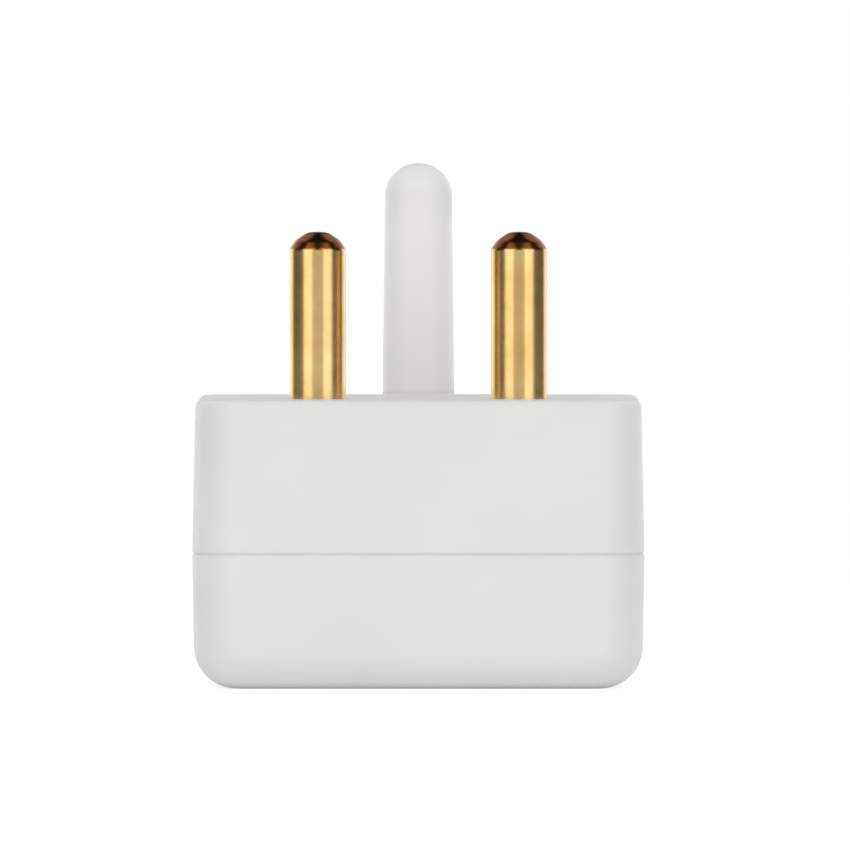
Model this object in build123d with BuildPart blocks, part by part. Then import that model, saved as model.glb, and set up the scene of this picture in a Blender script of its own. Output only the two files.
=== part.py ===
"""Switched plug adapter: three round pins on one face, two two-pin outlets and a rocker on the other.

Units are millimetres. The socket face lies on z = 0 and the pins point along +Z.
The origin is the middle of the socket face. +Y runs from the brass pins to the earth pin.
"""

import os
from math import cos, radians, sin, sqrt, tan

from build123d import *

# Plug pins
pin_pitch = 25.4
pin_row_to_earth = 28.6
pin_d = 7.06
pin_length = 21.1
pin_nose_r = 2.5
earth_foot_d = 9.1
earth_tip_d = 8.5
earth_length = 29.6
pin_row_y = -12.3

# Housing
body_width = 56.8
body_height = 62.0
corner_r = 7.0
pin_shell_depth = 19.3
socket_shell_depth = 16.9
pin_shell_draft = 1.2
socket_shell_draft = 1.0
pin_face_edge_r = 0.9
socket_face_edge_r = 4.5
seam_chamfer = 0.3
rim_chamfer = 0.2
wall = 2.2
pin_plate = 2.6
inner_floor_r = 2.0
lip_t = 1.0
lip_h = 1.9
lip_gap = 0.1
rib_t = 1.2
rib_drop = 2.0

# Housing screws
screw_inset = 5.4
screw_d = 2.9
screw_hole_gap = 0.02
screw_pass_gap = 0.2
screw_length = 15.0
screw_hole_spare = 1.5
screw_point = 2.0
screw_tip_d = 0.8
screw_head_d = 5.6
screw_head_h = 2.0
screw_head_edge_r = 0.6
screw_head_gap = 0.3
screw_seat_depth = 13.1
screw_boss_wall = 1.8
drive_width = 0.9
drive_length = 3.4
drive_depth = 1.0

# Roots of the pins
shoulder_step = 0.27
shoulder_gap = 0.05
pin_boss_wall = 2.7
pin_boss_h = 2.0
flange_d = 10.5
flange_t = 1.5
tail_d = 4.0
tail_head_d = 5.6
tail_head_h = 0.8
earth_core_d = 4.0
earth_core_tip = 7.0
earth_foot_fillet = 0.4

# Outlets
outlet_pin_pitch = 19.0
outlet_hole_d = 5.2
outlet_pitch = 17.8
outlet_to_well = 2.8
outlet_width = 36.4
outlet_height = 14.6
outlet_flat = 26.8
outlet_end = 6.8
outlet_corner_r = 1.6
outlet_depth = 6.0
outlet_floor = 2.0
outlet_wall = 1.8
guide_wall = 1.6
guide_h = 2.0
hole_lead = 0.6
mouth_r = 0.4

# Contact carrier, strips and contact clips
strip_t = 1.0
strip_eye_r = 4.0
strip_half_w = 2.8
strip_hole_gap = 0.02
carrier_t = 3.0
carrier_half_w = 18.4
carrier_low_y = -7.4
carrier_high_y = 25.0
carrier_corner_r = 2.0
barrier_x = 4.4
barrier_t = 1.2
barrier_h = 2.2
barrier_inset = 1.0
post_x = 16.4
post_low_y = -4.0
post_high_y = 22.4
post_d = 4.0
peg_d = 2.0
peg_h = 2.0
peg_gap = 0.1
clip_t = 0.6
clip_width = 5.0
clip_half = 3.6
clip_mouth_half = 3.5
clip_pinch_half = 2.45
clip_mouth_gap = 0.7
clip_lead = 3.6
clip_taper = 6.0
clip_bend_r = 0.9
clip_pocket_gap = 0.4
rivet_d = 2.4
rivet_head_d = 4.2
rivet_head_h = 0.7

# Rocker switch
switch_wall = 1.0
switch_floor = 1.2
switch_inner_length = 18.6
switch_inner_width = 10.8
bezel_flange = 1.0
bezel_t = 1.8
bezel_corner_r = 1.2
bezel_edge_r = 0.6
bezel_z = 3.2
well_gap = 0.7
well_floor = 2.0
well_corner_r = 1.6
aperture_gap = 0.1
barb_out = 0.8
barb_h = 2.2
barb_width = 5.0
pivot_z = 6.7
rocker_tilt = 10.0
rocker_end_r = 9.0
rocker_end_gap = 0.2
rocker_rise = 3.55
rocker_skirt = 2.3
rocker_side_gap = 0.3
rocker_edge_r = 0.35
cheek_r = 2.8
cheek_t = 1.2
trunnion_d = 2.4
trunnion_gap = 0.05
trunnion_length = 0.9
stem_d = 4.4
stem_reach = 4.0
stem_bore_d = 2.8
stem_bore_top = 1.5
plunger_d = 2.5
plunger_reach = 6.0
plunger_length = 3.8
spring_d = 2.4
spring_wire_d = 0.32
spring_turns = 5
spring_end_gap = 0.05
bridge_t = 0.7
bridge_half = 7.8
bridge_width = 4.4
bridge_tilt = 8.0
bridge_gap = 0.15
bridge_notch = 1.5
bridge_notch_depth = 0.9
contact_x = 6.5
contact_d = 2.6
contact_h = 0.8
contact_shank_d = 1.2
contact_break = 0.1
stop_t = 1.0
stop_width = 6.0
terminal_t = 0.8
terminal_width = 4.8
terminal_reach = 7.2
terminal_slot_gap = 0.05
terminal_corner = 1.0
terminal_foot = 1.6
feed_tab_x = -8.2
load_tab_x = 0.0
solder_lap = 4.4
leg_run = 2.0
leg_bend_r = 1.4
pivot_gap = 0.1
prong_drop = 1.3
prong_w = 0.55

# Levels and places that follow from the sizes above
split_z = socket_shell_depth
pin_face_z = split_z + pin_shell_depth
pin_plate_z = pin_face_z - pin_plate
boss_joint_z = split_z - lip_h
pin_top_z = pin_face_z + pin_length
earth_top_z = pin_face_z + earth_length
earth_y = pin_row_y + pin_row_to_earth
screw_x = body_width / 2 - screw_inset
screw_y = body_height / 2 - screw_inset
screw_seat_z = pin_face_z - screw_seat_depth
screw_end_z = screw_seat_z - screw_length
screw_well_d = screw_head_d + 2 * screw_head_gap
screw_boss_d = screw_d + 2 * screw_boss_wall
shoulder_d = pin_d + 2 * shoulder_step
pin_hole_d = shoulder_d + 2 * shoulder_gap
flange_top_z = pin_plate_z - pin_boss_h
strip_top_z = flange_top_z - flange_t
carrier_top_z = strip_top_z - strip_t
carrier_low_z = carrier_top_z - carrier_t
outlet_floor_z = outlet_depth + outlet_floor
guide_top_z = outlet_floor_z + guide_h

switch_length = switch_inner_length + 2 * switch_wall
switch_width = switch_inner_width + 2 * switch_wall
seat_z = bezel_z + bezel_t
well_floor_z = seat_z + well_floor
well_length = switch_length + 2 * bezel_flange + 2 * well_gap
well_width = switch_width + 2 * bezel_flange + 2 * well_gap

# The rocker's well and the two outlets stand in a column, centred on the socket face
column_height = well_width + outlet_to_well + outlet_pitch + outlet_height
switch_y = (well_width - column_height) / 2
outlet_high_y = (column_height - outlet_height) / 2
outlet_ys = [outlet_high_y - outlet_pitch, outlet_high_y]
contact_row_x = outlet_pin_pitch / 2

rocker_half_w = switch_inner_width / 2 - rocker_side_gap
bridge_pivot_z = pivot_z + plunger_reach + bridge_gap + bridge_t
fixed_contact_z = bridge_pivot_z + contact_h + contact_break
foot_z = fixed_contact_z + contact_h
switch_inner_z = foot_z + terminal_t
switch_top_z = switch_inner_z + switch_floor
terminal_top_z = switch_top_z + terminal_reach
solder_z = terminal_top_z - solder_lap

pin_places = [(-pin_pitch / 2, pin_row_y), (pin_pitch / 2, pin_row_y)]
screw_places = [(x, y) for x in (-screw_x, screw_x) for y in (-screw_y, screw_y)]
post_places = [(x, y) for x in (-post_x, post_x) for y in (post_low_y, post_high_y)]
contact_places = [(x, y) for x in (-contact_row_x, contact_row_x) for y in outlet_ys]

os.makedirs("parts", exist_ok=True)


def side_plane(x, y, z=0.0):
    """A plane through one point whose first axis is +X and whose second is +Z."""
    return Plane(origin=(x, y, z), x_dir=(1, 0, 0), z_dir=(0, -1, 0))


def upright(x, y):
    """The vertical axis through one point of the plan."""
    return Axis((x, y, 0), (0, 0, 1))


def housing_outline(inset, mode=Mode.ADD):
    """The housing's plan at the split line, drawn in by a distance all round."""
    RectangleRounded(
        body_width - 2 * inset, body_height - 2 * inset, corner_r - inset, mode=mode
    )


def outlet_outline(grow):
    """The six-sided plan of one outlet recess, grown by a distance all round."""
    with BuildSketch() as plan:
        Polygon(
            (outlet_width / 2, -outlet_end / 2),
            (outlet_width / 2, outlet_end / 2),
            (outlet_flat / 2, outlet_height / 2),
            (-outlet_flat / 2, outlet_height / 2),
            (-outlet_width / 2, outlet_end / 2),
            (-outlet_width / 2, -outlet_end / 2),
            (-outlet_flat / 2, -outlet_height / 2),
            (outlet_flat / 2, -outlet_height / 2),
        )
        fillet(plan.vertices(), outlet_corner_r)
        if grow > 0:
            offset(amount=grow)
    return plan.sketch


recess_plan = outlet_outline(0)
recess_wall_plan = outlet_outline(outlet_wall)


# Pin-side shell, moulded in one with the earth pin
with BuildPart() as pin_shell:
    with BuildSketch(Plane.XY.offset(split_z)):
        housing_outline(0)
    extrude(amount=pin_shell_depth, taper=pin_shell_draft)
    fillet(pin_shell.faces().sort_by(Axis.Z)[-1].edges(), pin_face_edge_r)
    chamfer(pin_shell.faces().sort_by(Axis.Z)[0].edges(), seam_chamfer)
    with BuildSketch(Plane.XY.offset(split_z)):
        housing_outline(wall)
    extrude(amount=pin_shell_depth - pin_plate, taper=pin_shell_draft, mode=Mode.SUBTRACT)

    # Tongue that drops into the other shell
    with BuildSketch(Plane.XY.offset(split_z)):
        housing_outline(wall - lip_t)
        housing_outline(wall, mode=Mode.SUBTRACT)
    extrude(amount=-(lip_h - lip_gap))

    # Collars behind the brass pins and posts that clamp the carrier
    with BuildSketch(Plane.XY.offset(flange_top_z)):
        with Locations(*pin_places):
            Circle(pin_hole_d / 2 + pin_boss_wall)
    extrude(amount=pin_boss_h + pin_plate / 2)
    with BuildSketch(Plane.XY.offset(carrier_top_z)):
        with Locations(*post_places):
            Circle(post_d / 2)
    extrude(amount=pin_plate_z - carrier_top_z + pin_plate / 2)

    # Stiffening ribs under the pin plate
    with BuildSketch(Plane.XY.offset(pin_plate_z - rib_drop)):
        with Locations((0, post_low_y), (0, post_high_y)):
            Rectangle(body_width - 2 * wall, rib_t)
        with Locations((-post_x, 0), (post_x, 0)):
            Rectangle(rib_t, body_height - 2 * wall)
    extrude(amount=rib_drop + pin_plate / 2)

    # Tubes round the screws, wide where the heads sit and narrow below
    with BuildSketch(Plane.XY.offset(boss_joint_z)):
        with Locations(*screw_places):
            Circle(screw_boss_d / 2)
    extrude(amount=pin_plate_z - boss_joint_z + pin_plate / 2)
    with BuildSketch(Plane.XY.offset(screw_seat_z - wall)):
        with Locations(*screw_places):
            Circle(screw_well_d / 2 + rib_t)
        housing_outline(wall / 2, mode=Mode.INTERSECT)
    extrude(amount=pin_plate_z - screw_seat_z + wall + pin_plate / 2)
    with Locations(*[(x, y, pin_face_z) for x, y in screw_places]):
        CounterBoreHole(
            radius=screw_d / 2 + screw_pass_gap,
            counter_bore_radius=screw_well_d / 2,
            counter_bore_depth=screw_seat_depth,
            depth=pin_face_z - boss_joint_z,
        )

    # Round-nosed earth pin with its moulding draft
    earth_shoulder = (earth_tip_d / 2, earth_top_z - earth_tip_d / 2)
    with BuildSketch(side_plane(0, earth_y)):
        with BuildLine():
            Polyline(
                (0, earth_top_z),
                (0, pin_face_z - pin_plate / 2),
                (earth_foot_d / 2, pin_face_z - pin_plate / 2),
                (earth_foot_d / 2, pin_face_z),
                earth_shoulder,
            )
            RadiusArc(earth_shoulder, (0, earth_top_z), -earth_tip_d / 2)
        make_face()
    revolve(axis=upright(0, earth_y))
    foot_edges = pin_shell.edges().filter_by(GeomType.CIRCLE).filter_by(
        lambda edge: abs(edge.center().Z - pin_face_z) < 0.01
        and abs(edge.radius - earth_foot_d / 2) < 0.01
    )
    fillet(foot_edges, earth_foot_fillet)

    # Core that keeps the earth pin's wall even
    core_r = earth_core_d / 2
    core_top_z = earth_top_z - earth_core_tip
    with BuildSketch(side_plane(0, earth_y)):
        with BuildLine():
            Polyline(
                (0, core_top_z),
                (0, pin_plate_z - rib_drop),
                (core_r, pin_plate_z - rib_drop),
                (core_r, core_top_z - core_r),
            )
            RadiusArc((core_r, core_top_z - core_r), (0, core_top_z), -core_r)
        make_face()
    revolve(axis=upright(0, earth_y), mode=Mode.SUBTRACT)

    # Holes for the brass pins, and broken rims round them and round the screw wells
    with Locations(*[(x, y, pin_face_z) for x, y in pin_places]):
        Hole(pin_hole_d / 2, depth=pin_plate + pin_boss_h)
    rims = pin_shell.edges().filter_by(GeomType.CIRCLE).filter_by(
        lambda edge: abs(edge.center().Z - pin_face_z) < 0.01
        and (abs(edge.radius - pin_hole_d / 2) < 0.01 or abs(edge.radius - screw_well_d / 2) < 0.01)
    )
    chamfer(rims, rim_chamfer)
pin_shell.part.label = "pin_shell"
export_step(pin_shell.part, "parts/pin_shell.step")


# Socket-side shell with two outlet recesses and the rocker's well
with BuildPart() as socket_shell:
    with BuildSketch(Plane.XY.offset(split_z)):
        housing_outline(0)
    extrude(amount=-socket_shell_depth, taper=socket_shell_draft)
    fillet(socket_shell.faces().sort_by(Axis.Z)[0].edges(), socket_face_edge_r)
    chamfer(socket_shell.faces().sort_by(Axis.Z)[-1].edges(), seam_chamfer)
    with BuildSketch(Plane.XY.offset(split_z)):
        housing_outline(wall)
    extrude(amount=-(split_z - wall), taper=socket_shell_draft, mode=Mode.SUBTRACT)
    inner_floor_edges = socket_shell.edges().filter_by(
        lambda edge: abs(edge.center().Z - wall) < 0.01
    )
    fillet(inner_floor_edges, inner_floor_r)

    # Inner walls of the outlet recesses and of the rocker's well
    with BuildSketch(Plane.XY.offset(wall / 2)):
        with Locations(*[(0, y) for y in outlet_ys]):
            add(recess_wall_plan)
    extrude(amount=outlet_floor_z - wall / 2)
    with BuildSketch(Plane.XY.offset(wall / 2)):
        with Locations((0, switch_y)):
            RectangleRounded(
                well_length + 2 * outlet_wall,
                well_width + 2 * outlet_wall,
                well_corner_r + outlet_wall,
            )
    extrude(amount=well_floor_z - wall / 2)

    # Guides round the outlet holes
    with BuildSketch(Plane.XY.offset(outlet_floor_z)):
        with Locations(*contact_places):
            Circle(outlet_hole_d / 2 + guide_wall)
    extrude(amount=guide_h)

    # Screw bosses in the corners, cut down with the rebate for the other shell's tongue
    with BuildSketch(Plane.XY.offset(wall / 2)):
        with Locations(*screw_places):
            Circle(screw_boss_d / 2)
        housing_outline(wall + socket_face_edge_r / 4, mode=Mode.INTERSECT)
    extrude(amount=split_z - wall / 2)
    with BuildSketch(Plane.XY.offset(split_z)):
        housing_outline(wall - lip_t - lip_gap)
    extrude(amount=-lip_h, mode=Mode.SUBTRACT)
    with Locations(*[(x, y, boss_joint_z) for x, y in screw_places]):
        Hole(screw_d / 2 + screw_hole_gap, depth=boss_joint_z - screw_end_z + screw_hole_spare)

    # Posts that carry the contact carrier, with locating pegs
    with BuildSketch(Plane.XY.offset(wall / 2)):
        with Locations(*post_places):
            Circle(post_d / 2)
    extrude(amount=carrier_low_z - wall / 2)
    with BuildSketch(Plane.XY.offset(carrier_low_z)):
        with Locations(*post_places):
            Circle(peg_d / 2)
    extrude(amount=peg_h)

    # Outlet recesses and their pin holes
    with BuildSketch(Plane.XY):
        with Locations(*[(0, y) for y in outlet_ys]):
            add(recess_plan)
    extrude(amount=outlet_depth, mode=Mode.SUBTRACT)
    with BuildSketch(Plane.XY.offset(outlet_depth)):
        with Locations(*contact_places):
            Circle(outlet_hole_d / 2)
    extrude(amount=outlet_floor + guide_h, mode=Mode.SUBTRACT)
    hole_mouths = socket_shell.edges().filter_by(GeomType.CIRCLE).filter_by(
        lambda edge: abs(edge.center().Z - outlet_depth) < 0.01
        and abs(edge.radius - outlet_hole_d / 2) < 0.01
    )
    chamfer(hole_mouths, hole_lead)

    # Rocker's well and the opening that the switch snaps into
    with BuildSketch(Plane.XY):
        with Locations((0, switch_y)):
            RectangleRounded(well_length, well_width, well_corner_r)
    extrude(amount=seat_z, mode=Mode.SUBTRACT)
    with BuildSketch(Plane.XY.offset(seat_z)):
        with Locations((0, switch_y)):
            Rectangle(switch_length + 2 * aperture_gap, switch_width + 2 * aperture_gap)
    extrude(amount=well_floor, mode=Mode.SUBTRACT)

    # Rounded lips where the recesses and the well open on the socket face
    socket_face = socket_shell.faces().sort_by(Axis.Z)[0]
    fillet([edge for wire in socket_face.inner_wires() for edge in wire.edges()], mouth_r)
socket_shell.part.label = "socket_shell"
export_step(socket_shell.part, "parts/socket_shell.step")


# Line and neutral pins, turned from brass bar, with a flange and a riveted tail
for name, (pin_x, pin_y) in zip(("line_pin", "neutral_pin"), pin_places):
    nose_start = (pin_d / 2, pin_top_z - pin_nose_r)
    nose_end = (pin_d / 2 - pin_nose_r, pin_top_z)
    with BuildPart() as brass_pin:
        with BuildSketch(side_plane(pin_x, pin_y)):
            with BuildLine():
                Polyline(
                    nose_end,
                    (0, pin_top_z),
                    (0, carrier_top_z - tail_head_h),
                    (tail_head_d / 2, carrier_top_z - tail_head_h),
                    (tail_head_d / 2, carrier_top_z),
                    (tail_d / 2, carrier_top_z),
                    (tail_d / 2, strip_top_z),
                    (flange_d / 2, strip_top_z),
                    (flange_d / 2, flange_top_z),
                    (shoulder_d / 2, flange_top_z),
                    (shoulder_d / 2, pin_face_z),
                    (pin_d / 2, pin_face_z),
                    nose_start,
                )
                RadiusArc(nose_start, nose_end, -pin_nose_r)
            make_face()
        revolve(axis=upright(pin_x, pin_y))
        tail_rim = brass_pin.edges().filter_by(GeomType.CIRCLE).sort_by(Axis.Z)[0]
        fillet(tail_rim, tail_head_h / 2)
    brass_pin.part.label = name
    export_step(brass_pin.part, f"parts/{name}.step")


# Self-tapping screws, each driven through the pin-side shell into the socket-side bosses
with BuildPart() as housing_screws:
    for screw_at_x, screw_at_y in screw_places:
        head_top_z = screw_seat_z + screw_head_h
        with BuildSketch(side_plane(screw_at_x, screw_at_y)):
            with BuildLine():
                Polyline(
                    (screw_head_d / 2 - screw_head_edge_r, head_top_z),
                    (0, head_top_z),
                    (0, screw_end_z),
                    (screw_tip_d / 2, screw_end_z),
                    (screw_d / 2, screw_end_z + screw_point),
                    (screw_d / 2, screw_seat_z),
                    (screw_head_d / 2, screw_seat_z),
                    (screw_head_d / 2, head_top_z - screw_head_edge_r),
                )
                RadiusArc(
                    (screw_head_d / 2, head_top_z - screw_head_edge_r),
                    (screw_head_d / 2 - screw_head_edge_r, head_top_z),
                    -screw_head_edge_r,
                )
            make_face()
        revolve(axis=upright(screw_at_x, screw_at_y))
    with BuildSketch(Plane.XY.offset(screw_seat_z + screw_head_h)):
        with Locations(*screw_places):
            Rectangle(drive_length, drive_width)
            Rectangle(drive_width, drive_length)
    extrude(amount=-drive_depth, mode=Mode.SUBTRACT)
housing_screws.part.label = "housing_screws"
export_step(housing_screws.part, "parts/housing_screws.step")


# Insulating carrier that locates the contact clips and parts line from neutral
carrier_middle_y = (carrier_low_y + carrier_high_y) / 2
with BuildPart() as contact_carrier:
    with BuildSketch(Plane.XY.offset(carrier_low_z)):
        with Locations((0, carrier_middle_y)):
            RectangleRounded(2 * carrier_half_w, carrier_high_y - carrier_low_y, carrier_corner_r)
        with Locations(*contact_places):
            Rectangle(
                2 * (clip_half + clip_pocket_gap),
                clip_width + 2 * clip_pocket_gap,
                mode=Mode.SUBTRACT,
            )
        with Locations(*post_places):
            Circle(peg_d / 2 + peg_gap, mode=Mode.SUBTRACT)
    extrude(amount=carrier_t)
    with BuildSketch(Plane.XY.offset(carrier_top_z)):
        with Locations((barrier_x, carrier_middle_y)):
            Rectangle(barrier_t, carrier_high_y - carrier_low_y - 2 * barrier_inset)
    extrude(amount=barrier_h)
contact_carrier.part.label = "contact_carrier"
export_step(contact_carrier.part, "parts/contact_carrier.step")


def strip_run(start, start_r, end, end_r):
    """A flat stretch of strip between two points, with round ends."""
    with BuildSketch(Plane.XY.offset(carrier_top_z)) as plan:
        with Locations(start):
            Circle(start_r)
        with Locations(end):
            Circle(end_r)
        make_hull()
    extrude(plan.sketch, amount=strip_t)


def strip_leg(tab_x):
    """The end of a strip bent down along the near face of a switch terminal."""
    face_x = tab_x - terminal_t / 2
    with BuildSketch(side_plane(0, switch_y)) as profile:
        with BuildLine():
            FilletPolyline(
                (face_x - leg_run, strip_top_z),
                (face_x, strip_top_z),
                (face_x, solder_z),
                radius=leg_bend_r,
            )
            offset(amount=strip_t, side=Side.RIGHT)
        make_face()
    extrude(profile.sketch, amount=terminal_width / 2, both=True)


def strip_holes(places, hole_d):
    """Round holes through a strip for a rivet or a pin's tail."""
    with Locations(*[(x, y, strip_top_z) for x, y in places]):
        Hole(hole_d / 2 + strip_hole_gap, depth=strip_t)


# Strip from the line pin to the switch
with BuildPart() as line_inlet_strip:
    leg_root = (feed_tab_x - terminal_t / 2 - leg_run, switch_y)
    strip_run(pin_places[0], strip_eye_r, leg_root, terminal_width / 2)
    strip_leg(feed_tab_x)
    strip_holes(pin_places[:1], tail_d)
line_inlet_strip.part.label = "line_inlet_strip"
export_step(line_inlet_strip.part, "parts/line_inlet_strip.step")

# Strip from the switch to the line contacts of both outlets
line_contacts = [place for place in contact_places if place[0] < 0]
with BuildPart() as line_outlet_strip:
    leg_root = (load_tab_x - terminal_t / 2 - leg_run, switch_y)
    strip_run(line_contacts[0], strip_half_w, line_contacts[1], strip_half_w)
    strip_run(line_contacts[0], strip_half_w, leg_root, terminal_width / 2)
    strip_leg(load_tab_x)
    strip_holes(line_contacts, rivet_d)
line_outlet_strip.part.label = "line_outlet_strip"
export_step(line_outlet_strip.part, "parts/line_outlet_strip.step")

# Strip from the neutral pin to the neutral contacts
neutral_contacts = [place for place in contact_places if place[0] > 0]
with BuildPart() as neutral_strip:
    strip_run(pin_places[1], strip_eye_r, neutral_contacts[0], strip_half_w)
    strip_run(neutral_contacts[0], strip_half_w, neutral_contacts[1], strip_half_w)
    strip_holes(pin_places[1:], tail_d)
    strip_holes(neutral_contacts, rivet_d)
neutral_strip.part.label = "neutral_strip"
export_step(neutral_strip.part, "parts/neutral_strip.step")


# Folded spring clips that grip the inserted plug's pins
clip_names = ["line_contact_lower", "line_contact_upper", "neutral_contact_lower", "neutral_contact_upper"]
clip_mouth_z = guide_top_z + clip_mouth_gap
clip_pinch_z = clip_mouth_z + clip_lead
clip_knee_z = clip_pinch_z + clip_taper
for name, (clip_x, clip_y) in zip(clip_names, contact_places):
    with BuildPart() as contact_clip:
        with BuildSketch(side_plane(clip_x, clip_y)):
            with BuildLine():
                FilletPolyline(
                    (-clip_mouth_half, clip_mouth_z),
                    (-clip_pinch_half, clip_pinch_z),
                    (-clip_half, clip_knee_z),
                    (-clip_half, carrier_top_z),
                    (clip_half, carrier_top_z),
                    (clip_half, clip_knee_z),
                    (clip_pinch_half, clip_pinch_z),
                    (clip_mouth_half, clip_mouth_z),
                    radius=clip_bend_r,
                )
                offset(amount=clip_t, side=Side.RIGHT)
            make_face()
        extrude(amount=clip_width / 2, both=True)
        with Locations((clip_x, clip_y, carrier_top_z)):
            Hole(rivet_d / 2 + strip_hole_gap, depth=clip_t)
    contact_clip.part.label = name
    export_step(contact_clip.part, f"parts/{name}.step")


# Rivets that join the clips to the strips
with BuildPart() as contact_rivets:
    tail_top_z = carrier_top_z - clip_t
    for rivet_x, rivet_y in contact_places:
        with BuildSketch(side_plane(rivet_x, rivet_y)):
            with BuildLine():
                Polyline(
                    (rivet_d / 2, strip_top_z + rivet_head_h),
                    (0, strip_top_z + rivet_head_h),
                    (0, tail_top_z - rivet_head_h),
                    (rivet_d / 2, tail_top_z - rivet_head_h),
                    (rivet_head_d / 2, tail_top_z),
                    (rivet_d / 2, tail_top_z),
                    (rivet_d / 2, strip_top_z),
                    (rivet_head_d / 2, strip_top_z),
                    close=True,
                )
            make_face()
        revolve(axis=upright(rivet_x, rivet_y))
contact_rivets.part.label = "contact_rivets"
export_step(contact_rivets.part, "parts/contact_rivets.step")


# Switch housing with its bezel, snap barbs, terminal slots and the rocker's bearings
with BuildPart() as switch_body:
    with BuildSketch(Plane.XY.offset(seat_z)):
        with Locations((0, switch_y)):
            RectangleRounded(
                switch_length + 2 * bezel_flange, switch_width + 2 * bezel_flange, bezel_corner_r
            )
    extrude(amount=-bezel_t)
    fillet(switch_body.faces().sort_by(Axis.Z)[0].edges(), bezel_edge_r)
    with BuildSketch(Plane.XY.offset(seat_z)):
        with Locations((0, switch_y)):
            Rectangle(switch_length, switch_width)
    extrude(amount=switch_top_z - seat_z)
    with BuildSketch(Plane.XY.offset(seat_z)):
        with Locations((0, switch_y)):
            Rectangle(switch_inner_length, switch_inner_width)
    extrude(amount=switch_inner_z - seat_z, mode=Mode.SUBTRACT)
    with BuildSketch(side_plane(0, switch_y, pivot_z)):
        Circle(rocker_end_r + rocker_end_gap)
    extrude(amount=switch_inner_width / 2, both=True, mode=Mode.SUBTRACT)
    with BuildSketch(side_plane(0, switch_y, pivot_z)):
        Circle(trunnion_d / 2 + trunnion_gap)
    extrude(amount=switch_width / 2, both=True, mode=Mode.SUBTRACT)

    # Barbs that catch behind the well's floor
    for side in (-1, 1):
        with BuildSketch(side_plane(0, switch_y)):
            with BuildLine():
                Polyline(
                    (side * (switch_length / 2 - switch_wall / 2), well_floor_z),
                    (side * (switch_length / 2 + barb_out), well_floor_z),
                    (side * switch_length / 2, well_floor_z + barb_h),
                    (side * (switch_length / 2 - switch_wall / 2), well_floor_z + barb_h),
                    close=True,
                )
            make_face()
        extrude(amount=barb_width / 2, both=True)

    # Rib that stops the bridge in the off position
    with BuildSketch(Plane.XY.offset(bridge_pivot_z + bridge_gap)):
        with Locations((contact_x, switch_y)):
            Rectangle(stop_t, stop_width)
    extrude(amount=switch_inner_z + switch_floor / 2 - bridge_pivot_z - bridge_gap)

    # Slots that the terminals pass through
    with BuildSketch(Plane.XY.offset(switch_inner_z)):
        with Locations((feed_tab_x, switch_y), (load_tab_x, switch_y)):
            Rectangle(terminal_t + 2 * terminal_slot_gap, terminal_width + 2 * terminal_slot_gap)
    extrude(amount=switch_floor, mode=Mode.SUBTRACT)
switch_body.part.label = "switch_body"
export_step(switch_body.part, "parts/switch_body.step")


# Rocker in its off position, drawn square to its own tilted plane
tilt = radians(rocker_tilt)
rocker_plane = Plane(
    origin=(0, switch_y, pivot_z), x_dir=(cos(tilt), 0, -sin(tilt)), z_dir=(0, 1, 0)
)
stem_plane = Plane(
    origin=(0, switch_y, pivot_z), x_dir=(cos(tilt), 0, -sin(tilt)), z_dir=(sin(tilt), 0, cos(tilt))
)
slope = tan(tilt)
root = (rocker_rise * slope) ** 2 + (1 + slope**2) * (rocker_end_r**2 - rocker_rise**2)
crest_x = (sqrt(root) - rocker_rise * slope) / (1 + slope**2)
crest_y = rocker_rise + crest_x * slope
skirt_x = sqrt(rocker_end_r**2 - rocker_skirt**2)
with BuildPart() as rocker:
    with BuildSketch(rocker_plane):
        with BuildLine():
            Polyline(
                (-crest_x, crest_y),
                (0, rocker_rise),
                (crest_x, crest_y),
            )
            RadiusArc((crest_x, crest_y), (skirt_x, rocker_skirt), rocker_end_r)
            Line((skirt_x, rocker_skirt), (-skirt_x, rocker_skirt))
            RadiusArc((-skirt_x, rocker_skirt), (-crest_x, crest_y), rocker_end_r)
        make_face()
    extrude(amount=rocker_half_w, both=True)
    for side in (-1, 1):
        cheek_start = side * (rocker_half_w - cheek_t)
        with BuildSketch(rocker_plane.offset(cheek_start)):
            Circle(cheek_r)
            with Locations((0, rocker_skirt)):
                Rectangle(4 * cheek_r, rocker_skirt / 4)
            make_hull()
        extrude(amount=side * cheek_t)
        with BuildSketch(rocker_plane.offset(side * rocker_half_w)):
            Circle(trunnion_d / 2)
        extrude(amount=side * trunnion_length)
    with BuildSketch(stem_plane.offset(-rocker_skirt - cheek_t / 2)):
        Circle(stem_d / 2)
    extrude(amount=stem_reach + rocker_skirt + cheek_t / 2)
    with BuildSketch(stem_plane.offset(-stem_bore_top)):
        Circle(stem_bore_d / 2)
    extrude(amount=stem_reach + stem_bore_top, mode=Mode.SUBTRACT)
    crown_edges = (
        rocker.faces()
        .filter_by(lambda face: abs(face.normal_at().dot(rocker_plane.y_dir) - cos(tilt)) < 0.01)
        .edges()
        .filter_by(lambda edge: (edge.center() - rocker_plane.origin).dot(rocker_plane.y_dir)
                   > rocker_rise + 0.01)
    )
    fillet(crown_edges, rocker_edge_r)
rocker.part.label = "rocker"
export_step(rocker.part, "parts/rocker.step")


# Plunger that the spring presses against the bridge
with BuildPart() as rocker_plunger:
    dome_r = plunger_d / 2
    with BuildSketch(Plane(origin=stem_plane.origin, x_dir=stem_plane.x_dir, z_dir=-stem_plane.y_dir)):
        with BuildLine():
            Polyline(
                (0, plunger_reach),
                (0, plunger_reach - plunger_length),
                (dome_r, plunger_reach - plunger_length),
                (dome_r, plunger_reach - dome_r),
            )
            RadiusArc((dome_r, plunger_reach - dome_r), (0, plunger_reach), -dome_r)
        make_face()
    revolve(axis=Axis(stem_plane.origin, stem_plane.z_dir))
rocker_plunger.part.label = "rocker_plunger"
export_step(rocker_plunger.part, "parts/rocker_plunger.step")


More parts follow.
